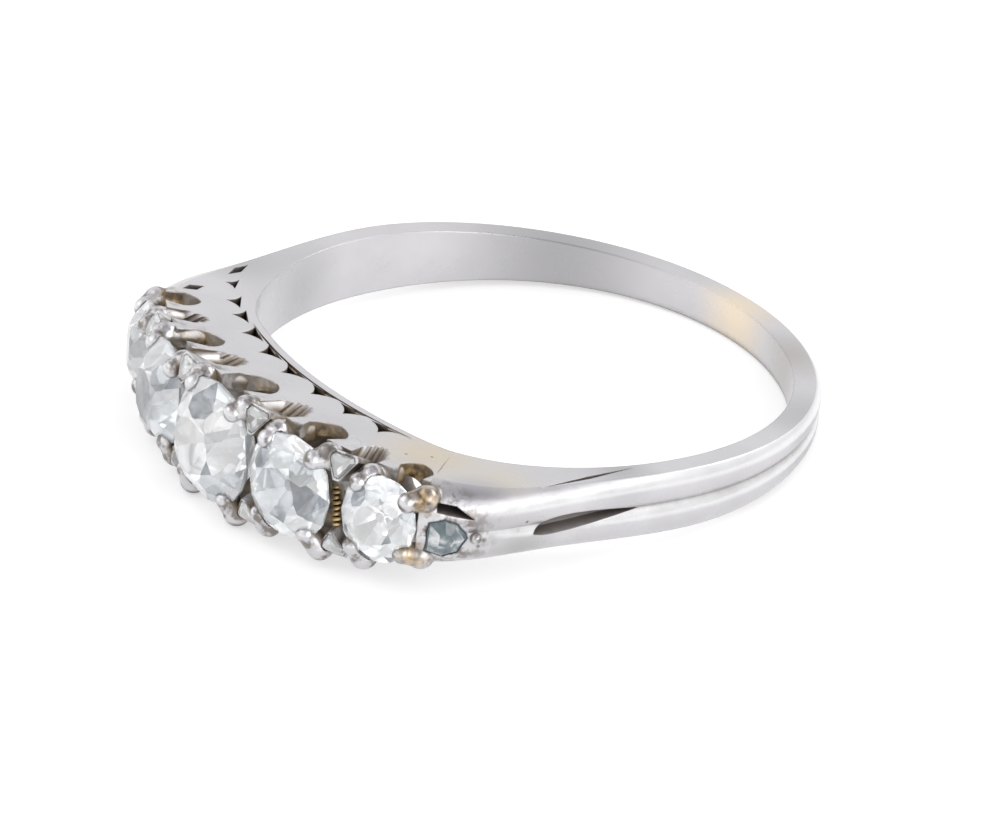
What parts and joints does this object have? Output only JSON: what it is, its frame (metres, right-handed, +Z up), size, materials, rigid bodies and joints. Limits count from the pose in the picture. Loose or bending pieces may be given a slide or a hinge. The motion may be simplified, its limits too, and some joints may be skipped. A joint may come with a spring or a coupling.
{
  "type": "five-stone half-hoop ring",
  "caption": "White metal finger ring lying on its side, with a graduated row of old-cut stones in a pierced and fluted half-hoop head, small chips between them and split reeded shoulders.",
  "frame": {"origin": "centre of the bounding box at the surface that the ring lies on", "axes": "+Z up from the surface, close to the finger axis, -Y towards the stones, X along the row of stones"},
  "size_m": [0.019, 0.022, 0.0044],
  "materials": {
    "white_metal": "polished, lightly worn",
    "old_cut_stone": "faceted, polished",
    "chip_stone": "rose cut",
    "shoulder_stone": "rose cut, grey"
  },
  "bodies": {
    "root": {"ring_mount": "white_metal", "chip_lower_1": "chip_stone", "chip_lower_2": "chip_stone", "chip_lower_3": "chip_stone", "chip_lower_4": "chip_stone", "chip_upper_1": "chip_stone", "chip_upper_2": "chip_stone", "chip_upper_3": "chip_stone", "chip_upper_4": "chip_stone", "shoulder_stone_left": "shoulder_stone", "shoulder_stone_right": "shoulder_stone", "stone_centre": "old_cut_stone", "stone_left_end": "old_cut_stone", "stone_left_inner": "old_cut_stone", "stone_right_end": "old_cut_stone", "stone_right_inner": "old_cut_stone"}
  },
  "joints": []
}
